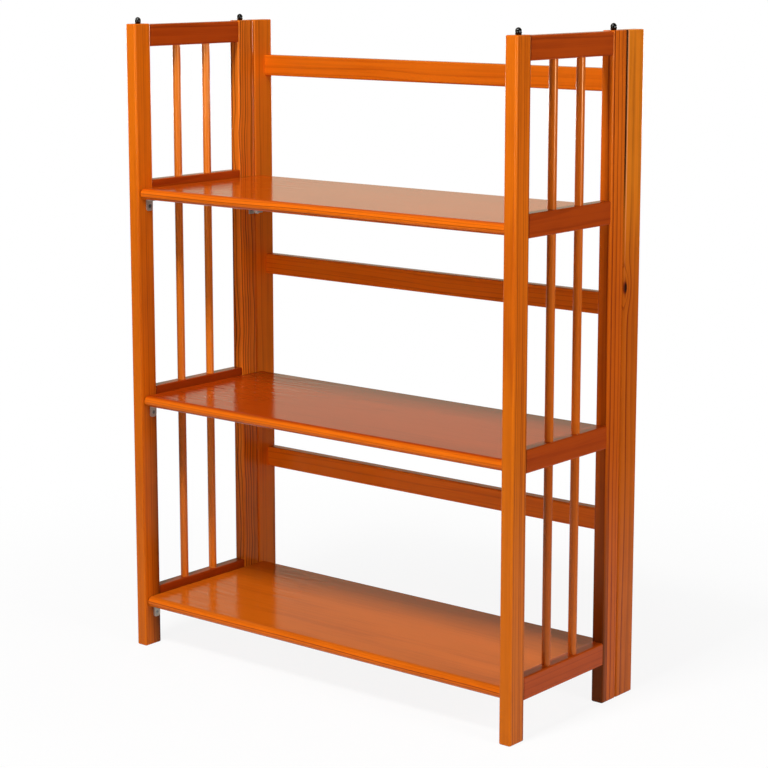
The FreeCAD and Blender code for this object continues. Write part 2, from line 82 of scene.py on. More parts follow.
class Tree:
    """A node tree that is written from its inputs to its outputs, one node a line."""

    def __init__(self, tree):
        self.tree = tree

    def feed(self, node, inputs):
        """Links or sets a node's inputs, told by their names, or by numbers where names repeat."""
        for socket, value in dict(inputs).items():
            if isinstance(value, bpy.types.NodeSocket):
                self.tree.links.new(value, node.inputs[socket])
            else:
                node.inputs[socket].default_value = value

    def add(self, kind, inputs=(), **settings):
        node = self.tree.nodes.new(kind)
        for name, value in settings.items():
            setattr(node, name, value)
        self.feed(node, inputs)
        return node

    def get(self, kind, inputs=(), output=0, **settings):
        return self.add(kind, inputs, **settings).outputs[output]

    def maths(self, operation, *values):
        return self.get("ShaderNodeMath", enumerate(values), operation=operation)

    def vector(self, operation, *values):
        return self.get("ShaderNodeVectorMath", enumerate(values), operation=operation)

    def scaled(self, vector, factor):
        return self.get("ShaderNodeVectorMath", {0: vector, "Scale": factor}, operation="SCALE")

    def length(self, vector):
        return self.get("ShaderNodeVectorMath", {0: vector}, "Value", operation="LENGTH")

    def point(self, x=0.0, y=0.0, z=0.0):
        return self.get("ShaderNodeCombineXYZ", enumerate((x, y, z)))

    def axes(self, point):
        """A point's X, Y and Z."""
        return self.add("ShaderNodeSeparateXYZ", {0: point}).outputs

    def own(self, attribute, output):
        """What each point of the mesh says for itself."""
        return self.get("ShaderNodeAttribute", (), output, attribute_name=attribute)

    def mix(self, share, first, second):
        """From one number to another, as the share goes from nothing to one."""
        return self.get("ShaderNodeMix", {0: share, 2: first, 3: second})

    def mix_colours(self, share, first, second):
        return self.get("ShaderNodeMix", {0: share, 6: first, 7: second}, 2, data_type="RGBA")

    def ramp(self, value, start, end, first=0.0, last=1.0, easing="SMOOTHSTEP"):
        """From one number to another, as the value goes from a start to an end."""
        sockets = enumerate((value, start, end, first, last))
        return self.get("ShaderNodeMapRange", sockets, interpolation_type=easing)

    def noise(self, place, swings, detail=2.0, roughness=0.5, output=0):
        """Soft noise about a half, with so many swings to the metre along each axis."""
        stretched = self.vector("MULTIPLY", place, swings)
        sockets = {"Vector": stretched, "Scale": 1.0, "Detail": detail, "Roughness": roughness}
        return self.get("ShaderNodeTexNoise", sockets, output)

    def about_zero(self, noise, strength, onto=0.0):
        """A noise's swing about a half, scaled and added to something."""
        return self.maths("MULTIPLY_ADD", self.maths("SUBTRACT", noise, 0.5), strength, onto)

    def push(self, place, swings, reach, detail=2.0):
        """A shove to and fro, by about half of the reach."""
        noise = self.noise(place, swings, detail, output="Color")
        return self.scaled(self.vector("SUBTRACT", noise, (0.5, 0.5, 0.5)), reach)


def new_material(name):
    """A material, with its tree and its shader."""
    material = bpy.data.materials.new(name)
    material.use_nodes = True
    return material, Tree(material.node_tree), material.node_tree.nodes["Principled BSDF"]


def in_scene(name, data):
    """Puts a mesh, a lamp or a camera into the scene."""
    item = bpy.data.objects.new(name, data)
    bpy.context.scene.collection.objects.link(item)
    return item


# ---------------------------------------------------------------- pine under lacquer

# How fine each figure is, in swings to the metre: twice across the log and then along it.
WANDER, SWAY = (6, 6, 1.9), (14, 14, 11)
FIBRES, STREAKS, BLOTCHES = (1000, 1000, 16), (170, 170, 2.2), (24, 24, 7)
# The detail and the roughness of the finer ones, and the detail of the softest.
FINE_GRAINED, SOFTEST = (3.0, 0.6), 1.0
# Where across one ring the wood turns from early to late, and how dark it is there.
RING_SHADES = ((0.4, 0.06), (0.7, 0.26), (0.84, 1.0), (0.93, 1.0))
FAINTEST_RING, BOLDER_RINGS = 0.3, 0.8
YEARS_ALIKE, YEARS_UNEVEN = 0.45, 1.5
FIBRE_SHOWS, BLOTCH_SHOWS = 0.5, 0.5
RING_RELIEF, FIBRE_RELIEF = 0.5, 0.5
ROUGHNESS, ROUGHNESS_SWING = 0.2, 0.14
# A knot has a heart and a fainter, redder tail, both drawn out along the grain, and swings the rings aside.
HEART, HEART_DRAWN_OUT, HEART_ENDS = stain(52, 10, 3), 2, (0.6, 1.1)
TAIL, TAIL_DRAWN_OUT, TAIL_ENDS, TAIL_SHOWS = stain(120, 30, 4), 5, (0.2, 0.9), 0.8
KNOT_SWING, SWING_FADES = 1.3, 0.12


def knots_away(t, given, drawn_out):
    """How far a place is from the knot, in knot sizes, with the knot drawn out along the grain."""
    apart = t.vector("SUBTRACT", given["Place"], given["Knot"])
    apart = t.vector("MULTIPLY", apart, (1, 1, 1 / drawn_out))
    return t.maths("DIVIDE", t.length(apart), given["Knot size"])


def rings_from_pith(t, given, near):
    """How many rings lie between the pith and a place: they wander along the log and swing round a knot."""
    place = given["Place"]
    drift = t.push(place, WANDER, given["Ring wander"])
    drift = t.vector("ADD", drift, t.push(place, SWAY, given["Ring sway"], SOFTEST))
    radius = t.length(t.vector("MULTIPLY", t.vector("ADD", place, drift), (1, 1, 0)))
    swing = t.maths("EXPONENT", t.maths("MULTIPLY", t.maths("MULTIPLY", near, near), -SWING_FADES))
    rings = t.maths("MULTIPLY_ADD", swing, KNOT_SWING, t.maths("DIVIDE", radius, given["Ring spacing"]))
    years = {"W": t.maths("MULTIPLY", rings, YEARS_ALIKE), "Scale": 1.0}
    uneven = t.get("ShaderNodeTexNoise", years, noise_dimensions="1D")
    return t.maths("MULTIPLY_ADD", uneven, YEARS_UNEVEN, rings)


def late_wood(t, rings, strength):
    """How far the early wood has turned to late wood, with some rings bolder than others."""
    ramp = t.add("ShaderNodeValToRGB", {0: t.maths("FRACT", rings)})
    shades = ramp.color_ramp.elements
    for at, shade in RING_SHADES:
        shades.new(at).color = (shade, shade, shade, 1)
    shades[0].color = shades[-1].color = (0, 0, 0, 1)
    which = t.get("ShaderNodeTexWhiteNoise", {"W": t.maths("FLOOR", rings)}, "Value", noise_dimensions="1D")
    bold = t.maths("MULTIPLY_ADD", which, BOLDER_RINGS, FAINTEST_RING)
    return t.maths("MULTIPLY", ramp.outputs[0], t.maths("MULTIPLY", bold, strength))


def pine_group():
    """Growth rings round a pith along Z, with the fibres, streaks and blotches of a sawn and stained face."""
    tree = bpy.data.node_groups.new("pine_figure", "ShaderNodeTree")
    inputs = {
        "Place": "Vector", "Early wood": "Color", "Late wood": "Color", "Ring spacing": "Float",
        "Ring wander": "Float", "Ring sway": "Float", "Ring strength": "Float", "Streaks": "Float",
        "Knot": "Vector", "Knot size": "Float",
    }
    for name, kind in inputs.items():
        tree.interface.new_socket(name, in_out="INPUT", socket_type="NodeSocket" + kind)
    for name, kind in {"Colour": "Color", "Roughness": "Float", "Relief": "Float"}.items():
        tree.interface.new_socket(name, in_out="OUTPUT", socket_type="NodeSocket" + kind)
    t = Tree(tree)
    given = t.add("NodeGroupInput").outputs
    place = given["Place"]

    near = knots_away(t, given, HEART_DRAWN_OUT)
    late = late_wood(t, rings_from_pith(t, given, near), given["Ring strength"])
    fibre = t.noise(place, FIBRES, *FINE_GRAINED)
    streak = t.noise(place, STREAKS, *FINE_GRAINED)
    tone = t.about_zero(fibre, FIBRE_SHOWS, late)
    tone = t.about_zero(streak, given["Streaks"], tone)
    tone = t.about_zero(t.noise(place, BLOTCHES), BLOTCH_SHOWS, tone)
    colour = t.mix_colours(tone, given["Early wood"], given["Late wood"])
    tail = t.ramp(knots_away(t, given, TAIL_DRAWN_OUT), *TAIL_ENDS, TAIL_SHOWS, 0.0)
    colour = t.mix_colours(tail, colour, TAIL)
    heart = t.ramp(near, *HEART_ENDS, 1.0, 0.0, "LINEAR")
    colour = t.mix_colours(heart, colour, HEART)
    roughness = t.about_zero(fibre, ROUGHNESS_SWING, ROUGHNESS)
    relief = t.maths("MULTIPLY_ADD", late, RING_RELIEF, t.maths("MULTIPLY", fibre, FIBRE_RELIEF))
    t.add("NodeGroupOutput", {"Colour": colour, "Roughness": roughness, "Relief": relief})
    return tree


PINE = pine_group()
GRAIN_TURN = {"Z": (0, 0, 0), "X": (0, 90, 0), "Y": (-90, 0, 0)}
# A knot too far away to leave a trace.
NO_KNOT = ((0, 0, 9000), 4)
GRAIN_DEPTH = 0.4
LACQUER_TINT = (1.0, 0.66, 0.34, 1)
# Near black, the colour of painted shade.
PAINTED_SHADE = stain(40, 8, 2)
# The planer's waves are plain to the left of one place along a shelf, and faint to the right of another.
PLANER_WAVES, PLAIN_WAVES_TO, FAINT_WAVES_FROM, FAINT_WAVES = (16, 95, 95), -220, -100, 0.15


def paint_light_along(t, seat, early, strength, axis, start, full, pale, rings):
    """The stain and ring strength of wood that turns paler along an axis, between two places: painted light,
    on the upper posts and on the shelves' noses.
    """
    share = t.ramp(t.axes(seat)[axis], start * MM, full * MM)
    return t.mix_colours(share, early, pale), t.mix(share, strength, rings)


def paint_band(t, seat, colour, middle, reach, fade, start, full, depth, mark=PAINTED_SHADE):
    """Painted shade, or a painted highlight, in an upright band.

    The band has a middle along Y, a reach and a fade.  It comes on between two heights, the start and the
    full one, and depth says how strong its mark is there.
    """
    _, back, height = t.axes(seat)
    off = t.maths("ABSOLUTE", t.maths("SUBTRACT", back, middle * MM))
    across = t.ramp(off, reach * MM, (reach + fade) * MM, depth, 0.0, "LINEAR")
    upwards = t.ramp(height, start * MM, full * MM)
    return t.mix_colours(t.maths("MULTIPLY", across, upwards), colour, mark)


def planed(t, seat, bump, depth):
    """The waves that a planer leaves on a shelf, on top of the grain's relief."""
    waves = t.noise(seat, PLANER_WAVES)
    shows = t.ramp(t.axes(seat)["X"], PLAIN_WAVES_TO * MM, FAINT_WAVES_FROM * MM, 1.0, FAINT_WAVES)
    sockets = {"Height": waves, "Strength": shows, "Distance": depth * MM, "Normal": bump}
    return t.get("ShaderNodeBump", sockets)


def pine(
    name, grain, early, late, spacing, wander, strength, streaks=0.9, *, pith=None, tilt=(0, 0, 0), sway=0,
    knot=NO_KNOT, painted_light=None, painted_bands=(), ripple=None, lacquer=0.3, matt=1.0, relief=0.12,
):
    """Lacquered pine with its grain along one axis, in mm and degrees.

    The log's pith passes through a point, or without one, through each piece's own place in the attribute
    "log", and then the attribute "tone" says how far the piece leans to the late wood's stain.
    The rings have a spacing, wander over a long stretch of the log and sway over a short one.
    A knot is its place and its size.  The painted light, paler along an axis, and the painted bands of shade
    or highlight are as paint_light_along and paint_band take them.
    A ripple is the depth of the planer's waves.  Lacquer says how much it mirrors, matt how rough it is, and
    relief how strongly the grain stands out of it.
    """
    material, t, shader = new_material(name)
    seat = t.get("ShaderNodeTexCoord", (), "Object")
    start = Vector((0, 0, 0)) if pith is None else pith * MM
    turn = Euler([math.radians(a + b) for a, b in zip(GRAIN_TURN[grain], tilt)])
    if pith is None:
        seat = t.vector("SUBTRACT", seat, t.own("log", "Vector"))
        early = t.mix_colours(t.own("tone", "Fac"), early, late)
    # Paler along an axis: painted light.
    if painted_light:
        early, strength = paint_light_along(t, seat, early, strength, **painted_light)
    knot_place, knot_size = knot
    wood = {
        "Place": t.get("ShaderNodeMapping", {0: seat, 1: start, 2: turn}, vector_type="TEXTURE"),
        "Early wood": early, "Late wood": late, "Ring spacing": spacing * MM, "Ring wander": wander * MM,
        "Ring sway": sway * MM, "Ring strength": strength, "Streaks": streaks,
        "Knot": turn.to_matrix().inverted() @ (Vector(knot_place) * MM - start), "Knot size": knot_size * MM,
    }
    figure = t.add("ShaderNodeGroup", wood, node_tree=PINE).outputs
    colour = figure["Colour"]
    # Painted shade and painted highlights, in upright bands.
    for band in painted_bands:
        colour = paint_band(t, seat, colour, **band)
    grain_relief = {"Height": figure["Relief"], "Strength": relief, "Distance": GRAIN_DEPTH * MM}
    bump = t.get("ShaderNodeBump", grain_relief)
    if ripple:
        bump = planed(t, seat, bump, ripple)
    roughness = t.maths("MULTIPLY", figure["Roughness"], matt)
    coat = {"Specular IOR Level": lacquer, "Specular Tint": LACQUER_TINT}
    t.feed(shader, {"Base Color": colour, "Roughness": roughness, "Normal": bump, **coat})
    return material


def finish_of(node, material):
    """Gives a node of the frame its finish."""
    mesh = nodes[node].data
    mesh.materials.clear()
    mesh.materials.append(material)


def middle_of(node):
    """The middle of a node of the frame, in mm."""
    low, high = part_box(node)
    return (low + high) / 2 / MM


def size_of(node):
    """How long a node of the frame is along each axis, in mm."""
    low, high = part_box(node)
    return (high - low) / MM


def in_metres(sizes):
    """Sizes that were given in mm."""
    return {label: size * MM for label, size in sizes.items()}


BRIGHT, BRIGHT_LATE = stain(232, 114, 14), stain(158, 52, 4)
WARM_LATE = stain(128, 36, 3)
DEEP, DEEP_LATE = stain(186, 72, 10), stain(118, 30, 3)

# Painted shade in the seam between rear and back post, and beside it a painted highlight on the back post's
# arris.
SEAM_PAINTED_SHADE = dict(middle=106.2, reach=1.8, fade=0.6, start=640, full=760, depth=0.96)
HIGHLIGHT_PAINT = stain(250, 160, 100)
ARRIS_PAINTED_HIGHLIGHT = dict(middle=109.3, reach=0.6, fade=0.8, start=560, full=760, depth=0.7, mark=HIGHLIGHT_PAINT)
# Each post: how far its pith lies from its middle, and its wood.  Most posts are paler towards the top,
# painted light from the lamps above.  The bands are painted shade at the front posts' rear edges, low on the
# left rear post and low on the right rear post's front face; the left rear post is also a little darker
# towards its top.
POSTS = {
    "left_front_post": ((12, 95, 300), dict(
        spacing=5, strength=0.75, early=stain(218, 105, 14), late=BRIGHT_LATE,
        painted_light=dict(axis="Z", start=520, full=800, pale=BRIGHT, rings=0.4),
        painted_bands=[dict(middle=-115, reach=1, fade=22, start=600, full=120, depth=0.76)],
    )),
    "left_rear_post": ((46, 52, 900), dict(
        spacing=5.2, strength=1.05, early=stain(248, 128, 28), late=stain(104, 28, 3), sway=9,
        painted_bands=[
            dict(middle=89, reach=20, fade=5, start=440, full=60, depth=0.28),
            dict(middle=89, reach=20, fade=5, start=600, full=880, depth=0.12),
        ],
    )),
    "back_post_left": ((-90, 20, 1500), dict(
        spacing=7, strength=0.5, early=stain(238, 120, 18), late=WARM_LATE,
    )),
    "right_front_post": ((-14, 90, 2100), dict(
        spacing=5.5, strength=1.15, early=stain(216, 109, 15), late=BRIGHT_LATE,
        painted_light=dict(axis="Z", start=300, full=700, pale=stain(226, 110, 14), rings=1.1),
        painted_bands=[dict(middle=-115, reach=1, fade=4, start=-2, full=-1, depth=0.6)],
    )),
    "right_rear_post": ((-30, -50, 2700), dict(
        spacing=7.5, strength=0.9, early=stain(210, 94, 10), late=WARM_LATE,
        painted_light=dict(axis="Z", start=560, full=800, pale=stain(232, 110, 17), rings=1.0),
        painted_bands=[SEAM_PAINTED_SHADE, dict(middle=72, reach=3, fade=9, start=460, full=60, depth=0.72)],
    )),
    "back_post_right": ((-85, 26, 3300), dict(
        spacing=7, strength=0.8, early=stain(206, 98, 14), late=WARM_LATE, knot=((349, 112, 584), 4.3),
        painted_light=dict(axis="Z", start=560, full=760, pale=stain(236, 130, 26), rings=0.15),
        painted_bands=[SEAM_PAINTED_SHADE, ARRIS_PAINTED_HIGHLIGHT],
    )),
}
POST_WANDER, POST_TILT = 10, (0.1, -0.2, 0)
for name, (from_middle, wood) in POSTS.items():
    pith = middle_of(name) + Vector(from_middle)
    finish_of(name, pine("pine_" + name, "Z", pith=pith, wander=POST_WANDER, tilt=POST_TILT, **wood))

# All shelves are sawn far from the pith, each from another stretch of the log, and are paler along the nose:
# painted light.
SHELF_STAINS = {
    "bottom": (stain(215, 104, 16), stain(140, 42, 5)),
    "middle": (stain(182, 66, 5), stain(112, 30, 2)),
    "top": (stain(208, 86, 9), stain(120, 32, 2)),
}
SHELF_PITH, SHELF_PITH_STEP = Vector((500, 50, -1100)), Vector((700, -40, 0))
SHELF_WOOD = dict(
    spacing=4, wander=16, strength=0.12, streaks=0.6, tilt=(0, 0.3, 0), ripple=0.8, matt=0.65,
    painted_light=dict(axis="Y", start=-138, full=-143, pale=stain(238, 112, 12), rings=0.8),
)
for order, level in enumerate(LEVELS):
    pith = middle_of(f"shelf_{level}") + SHELF_PITH + SHELF_PITH_STEP * order
    wood = pine(f"pine_shelf_{level}", "X", *SHELF_STAINS[level], pith=pith, **SHELF_WOOD)
    finish_of(f"shelf_{level}", wood)

RAIL_PINE = pine("pine_rails", "Y", DEEP, DEEP_LATE, spacing=9, wander=14, strength=0.4, streaks=0.7)
SLAT_PINE = pine("pine_slats", "X", BRIGHT, BRIGHT_LATE, spacing=7, wander=22, strength=0.4, streaks=1.0)
# The right frame's spindles have a darker stain than the left's: painted shade, as the front posts shade
# them.
SPINDLE_STAINS = {
    "left": (stain(240, 130, 30), stain(186, 76, 12)),
    "right": (stain(218, 104, 18), stain(160, 60, 8)),
}
SPINDLE_WOOD = dict(spacing=5, wander=8, strength=0.5, streaks=0.7, lacquer=1.0, relief=0.02)
# How far each piece leans to the late wood's stain, from the bottom up and from front to rear.  It is partly
# each piece's own wood and partly painted shade: the lower left rails and the front and lower spindles are
# darker where shade falls on them.
SLAT_TONES = [0.0, 0.05, 0.18]
RAIL_TONES = {"left": [0.5, 0.5, 0.1, 0.0], "right": [0.0, 0.1, 0.15, 0.0]}
SPINDLE_TONES = {"left": [0.5, 0.2, 0.25, 0.0, 0.15, 0.05], "right": [0.55, 0.25, 0.05, 0.0, 0.0, 0.0]}


# ---------------------------------------------------------------- fittings' finishes

HANDLING_MARKS, MARK_DETAIL = (1500, 1500, 600), 3.0
MARK_DEPTH, MARK_STRENGTH, MARKED_ROUGHNESS = 0.1, 0.1, 0.2


def fitting_finish(name, colour, roughness, metallic):
    """A small fitting's finish, plated or moulded, with fine handling marks."""
    material, t, shader = new_material(name)
    marks = t.noise(t.get("ShaderNodeTexCoord", (), "Object"), HANDLING_MARKS, MARK_DETAIL)
    bump = t.get("ShaderNodeBump", {"Height": marks, "Strength": MARK_STRENGTH, "Distance": MARK_DEPTH * MM})
    marked = t.about_zero(marks, MARKED_ROUGHNESS, roughness)
    t.feed(shader, {"Base Color": colour, "Metallic": metallic, "Roughness": marked, "Normal": bump})
    return material


NICKEL = fitting_finish("nickel_plate", stain(206, 198, 184), 0.42, 0.7)
STEEL = fitting_finish("bright_steel", stain(188, 186, 182), 0.24, 1.0)
BLACK = fitting_finish("black_gloss", stain(5, 5, 6), 0.06, 0.0)

for name in nodes:
    if name.startswith("hinge_pins") or "pivot" in name:
        finish_of(name, STEEL)
    elif "hinge" in name or name.startswith("shelf_support"):
        finish_of(name, NICKEL)


# ---------------------------------------------------------------- patterns of the pieces that repeat

SHARP_EDGE = math.radians(35)


def shaped(item):
    """An object's mesh as its modifiers leave it."""
    return bpy.data.meshes.new_from_object(item.evaluated_get(bpy.context.evaluated_depsgraph_get()))


class Pattern:
    """A Geometry Nodes tree that sets one shape at every place it is given, from named sizes."""

    def __init__(self, name, *sizes):
        self.tree = bpy.data.node_groups.new(name, "GeometryNodeTree")
        sockets = self.tree.interface
        kinds = {"Places": "Geometry", **dict.fromkeys(sizes, "Float"), "Finish": "Material"}
        self.ids = {}
        for label, kind in kinds.items():
            socket = sockets.new_socket(label, in_out="INPUT", socket_type="NodeSocket" + kind)
            self.ids[label] = socket.identifier
        sockets.new_socket("Pieces", in_out="OUTPUT", socket_type="NodeSocketGeometry")
        self.t = Tree(self.tree)
        self.given = self.t.add("NodeGroupInput").outputs

    def share(self, size, factor):
        """A share of one of the pattern's sizes."""
        return self.t.maths("MULTIPLY", self.given[size], factor)

    def lathe(self, profile, segments=40):
        """A solid turned round Z, from its heights and radii."""
        t = self.t
        count = len(profile)
        line = t.get("GeometryNodeCurvePrimitiveLine", {0: (0, 0, 0), 1: (0, 0, 1)})
        line = t.get("GeometryNodeResampleCurve", {0: line, 2: count})
        order = t.get("GeometryNodeInputIndex")
        chosen = []
        for values in zip(*profile):
            chooser = t.add("GeometryNodeIndexSwitch", data_type="FLOAT")
            for _ in range(count - 2):
                chooser.index_switch_items.new()
            t.feed(chooser, enumerate((order, *values)))
            chosen.append(chooser.outputs[0])
        height, radius = chosen
        line = t.get("GeometryNodeSetPosition", {0: line, 2: t.point(z=height)})
        ring = t.get("GeometryNodeCurvePrimitiveCircle", {"Resolution": segments, "Radius": 1.0})
        return t.get("GeometryNodeCurveToMesh", {0: line, 1: ring, 2: radius, 3: True})

    def join(self, *shapes):
        joined = self.t.add("GeometryNodeJoinGeometry")
        for shape in shapes:
            self.t.feed(joined, {0: shape})
        return joined.outputs[0]

    def close(self, shape, **spread):
        """Sets the shape at the places, turned and stretched as asked, in plain pieces with their finish."""
        t = self.t
        spread = {"Points": self.given["Places"], "Instance": shape, **spread}
        pieces = t.get("GeometryNodeInstanceOnPoints", spread)
        pieces = t.get("GeometryNodeRealizeInstances", {0: pieces})
        pieces = t.get("GeometryNodeSetMaterial", {"Geometry": pieces, "Material": self.given["Finish"]})
        t.add("NodeGroupOutput", {0: pieces})

    def make(self, name, body, slot, stands_for, places, finish, sizes, logs=None, **own):
        """One mesh of all the pieces on a body; each place may carry its own log, and a length or a tone."""
        mesh = bpy.data.meshes.new(name + "_places")
        mesh.from_pydata(places, [], [])
        if logs:
            attribute = mesh.attributes.new("log", "FLOAT_VECTOR", "POINT")
            attribute.data.foreach_set("vector", [step for log in logs for step in log])
        for label, values in own.items():
            mesh.attributes.new(label, "FLOAT", "POINT").data.foreach_set("value", values)
        maker = in_scene(name + "_places", mesh)
        modifier = maker.modifiers.new("pattern", "NODES")
        modifier.node_group = self.tree
        for label, value in {**sizes, "Finish": finish}.items():
            modifier[self.ids[label]] = value
        solid = shaped(maker)
        bpy.data.objects.remove(maker)
        solid.polygons.foreach_set("use_smooth", [True] * len(solid.polygons))
        solid.set_sharp_from_angle(angle=SHARP_EDGE)
        piece = in_scene(name, solid)
        # The flats shade flat and only the arrises roll over.
        piece.modifiers.new("flats", "WEIGHTED_NORMAL").keep_sharp = True
        piece.data = shaped(piece)
        piece.data.name = name
        piece.modifiers.clear()
        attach(piece, body)
        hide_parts(*stands_for)


ARRIS_STEPS = 6
SPINDLE_STEPS, SPINDLE_SIDES = 12, 48


def board_pattern():
    """A planed board along X with rounded arrises and a stub tenon on each end, turned about Z."""
    tenon = ("Tenon length", "Tenon width", "Tenon thickness")
    pattern = Pattern("board", "Length", "Width", "Thickness", "Arris", *tenon, "Turn")
    t, given = pattern.t, pattern.given

    def sweep(width, thickness, length, arris=None):
        section = t.get("GeometryNodeCurvePrimitiveQuadrilateral", {0: thickness, 1: width})
        if arris is not None:
            section = t.get("GeometryNodeFilletCurve", {0: section, 1: ARRIS_STEPS, 2: arris}, mode="POLY")
        ends = [t.point(x=t.maths("MULTIPLY", length, half)) for half in (-0.5, 0.5)]
        line = t.get("GeometryNodeCurvePrimitiveLine", {0: ends[0], 1: ends[1]})
        return t.get("GeometryNodeCurveToMesh", {0: line, 1: section, 3: True})

    body = sweep(given["Width"], given["Thickness"], given["Length"], given["Arris"])
    reach = t.maths("MULTIPLY_ADD", given["Tenon length"], 2.0, given["Length"])
    tenons = sweep(given["Tenon width"], given["Tenon thickness"], reach)
    pattern.close(pattern.join(body, tenons), Rotation=t.point(z=given["Turn"]))
    return pattern


def spindle_pattern():
    """A dowel along Z, as long as its place says."""
    pattern = Pattern("spindle", "Diameter")
    t = pattern.t
    length = t.get("GeometryNodeInputNamedAttribute", {"Name": "length"}, data_type="FLOAT")
    radius = pattern.share("Diameter", 0.5)
    profile = [(-0.5 + step / SPINDLE_STEPS, radius) for step in range(SPINDLE_STEPS + 1)]
    pattern.close(pattern.lathe(profile, SPINDLE_SIDES), Scale=t.point(1.0, 1.0, length))
    return pattern


# Shares of a screw's length and of its head's width, and the blunting of its point and of its head's rim.
TAPER_FROM, RECESS_REACH, SCREW_BLUNT, SCREW_SIDES = 0.7, 0.62, 0.2 * MM, 32
SPIN_SEED, QUARTER_TURN = 4, 1.57


def screw_pattern():
    """A countersunk wood screw with a cross recess, its head's face at the place and turned about Y."""
    sizes = ("Head", "Shank", "Length", "Sink", "Recess width", "Recess depth", "Turn")
    pattern = Pattern("countersunk_screw", *sizes)
    t, given = pattern.t, pattern.given
    head, shank = pattern.share("Head", 0.5), pattern.share("Shank", 0.5)
    sink, tip = pattern.share("Sink", -1.0), pattern.share("Length", -1.0)
    taper = pattern.share("Length", -TAPER_FROM)
    profile = [(tip, SCREW_BLUNT), (taper, shank), (sink, shank), (-SCREW_BLUNT, head), (0.0, head)]
    screw = pattern.lathe(profile, SCREW_SIDES)

    width, reach = given["Recess width"], pattern.share("Head", RECESS_REACH)
    cut = pattern.share("Recess depth", 2.0)
    cross = t.add("GeometryNodeMeshBoolean", operation="UNION", solver="EXACT")
    for along, across in ((reach, width), (width, reach)):
        bar = t.get("GeometryNodeMeshCube", {0: t.point(along, across, cut)})
        t.feed(cross, {1: bar})
    recessed = t.add("GeometryNodeMeshBoolean", {0: screw}, operation="DIFFERENCE", solver="EXACT")
    t.feed(recessed, {1: cross.outputs[0]})

    spin = {2: 0.0, 3: QUARTER_TURN, "Seed": SPIN_SEED}
    spin = t.get("FunctionNodeRandomValue", spin, 1, data_type="FLOAT")
    spin = t.get("FunctionNodeAxisAngleToRotation", {0: (0, 0, 1), 1: spin})
    turn = {0: t.point(y=given["Turn"]), 1: spin}
    turn = t.get("FunctionNodeRotateRotation", turn, rotation_space="LOCAL")
    pattern.close(recessed.outputs[0], Rotation=turn)
    return pattern


# A stacking pin's head swells out to a share of its height and closes in a dome above; its foot is bevelled.
BELLY_AT, BELLY_STEPS, DOME_STEPS, DOME_CLOSED = 0.42, 5, 12, 0.002
FOOT_NARROWED, FOOT_BEVEL, SHOULDER = 0.8, 0.8 * MM, 0.1 * MM


def stacking_pin_pattern():
    """A moulded pin: a ball-nosed head on a slightly narrower neck, over a plain shank."""
    pattern = Pattern("stacking_pin", "Head", "Height", "Neck", "Shank", "Shank length")
    t = pattern.t
    head, neck, shank = (pattern.share(part, 0.5) for part in ("Head", "Neck", "Shank"))
    foot = pattern.share("Shank length", -1.0)
    belly, dome = pattern.share("Height", BELLY_AT), pattern.share("Height", 1 - BELLY_AT)
    swell = t.maths("SUBTRACT", head, neck)
    profile = [(foot, t.maths("MULTIPLY", shank, FOOT_NARROWED)), (t.maths("ADD", foot, FOOT_BEVEL), shank)]
    profile += [(-SHOULDER, shank), (0.0, neck)]
    for step in range(1, BELLY_STEPS + 1):
        out = math.sin(math.radians(90 * step / BELLY_STEPS))
        up = t.maths("MULTIPLY", belly, step / BELLY_STEPS)
        profile.append((up, t.maths("MULTIPLY_ADD", swell, out, neck)))
    for step in range(1, DOME_STEPS + 1):
        angle = math.radians(90 * step / DOME_STEPS)
        up = t.maths("MULTIPLY_ADD", dome, math.sin(angle), belly)
        profile.append((up, t.maths("MULTIPLY", head, max(math.cos(angle), DOME_CLOSED))))
    pattern.close(pattern.lathe(profile))
    return pattern


BOARD = board_pattern()
SPINDLE = spindle_pattern()
SCREW = screw_pattern()
STACKING_PIN = stacking_pin_pattern()


# ---------------------------------------------------------------- the pieces that repeat

SCREW_SIZES = {"Head": 6, "Shank": 3, "Length": 11, "Sink": 1.7, "Recess width": 0.8, "Recess depth": 1.2}
PIN_SIZES = {"Head": 9, "Height": 9.5, "Neck": 7.6, "Shank": 7, "Shank length": 18}
ARRIS = 2.2
# Each kind of board: its grain, and its tenons' length, width and thickness.
SLAT_TENON, RAIL_TENON = ("X", 10, 22, 8), ("Y", 8, 22, 9)
# How far from a piece its own pith lies, near enough that its rings are seen as bands.
SLAT_LOG, RAIL_LOG, SPINDLE_LOG = 60, 70, 22
LOG_TURN, FIRST_LOG_TURN, LOG_LAG = 2.4, 0.8, 1.0


def parts_in(node, axis, parting=5 * MM):
    """Low and high corners of the separate parts that a node holds, told apart by the gaps along one axis."""
    points = sorted((v.co.copy() for v in nodes[node].data.vertices), key=lambda p: p[axis])
    groups = [[points[0]]]
    for point in points[1:]:
        if point[axis] - groups[-1][-1][axis] > parting:
            groups.append([])
        groups[-1].append(point)
    return [(Vector(map(min, *g)), Vector(map(max, *g))) for g in groups]


def logs_for(places, apart):
    """A pith for each piece, all round it in turn and each on another stretch of the log."""
    logs = []
    for order, place in enumerate(places):
        around = LOG_TURN * order + FIRST_LOG_TURN
        aside = Vector((math.cos(around), math.sin(around), math.sin(around + LOG_LAG))) * apart * MM
        logs.append(Vector(place) + aside)
    return logs


def board_sizes(node, grain, tenon_length, tenon_width, tenon_thickness):
    """A board's sizes from the frame's node, whose box has the tenons in it."""
    size = size_of(node)
    length, thickness, turn = (size.x, size.y, 0.0) if grain == "X" else (size.y, size.x, math.radians(90))
    sizes = {
        "Length": length - 2 * tenon_length, "Width": size.z, "Thickness": thickness, "Arris": ARRIS,
        "Tenon length": tenon_length, "Tenon width": tenon_width, "Tenon thickness": tenon_thickness,
    }
    return {**in_metres(sizes), "Turn": turn}


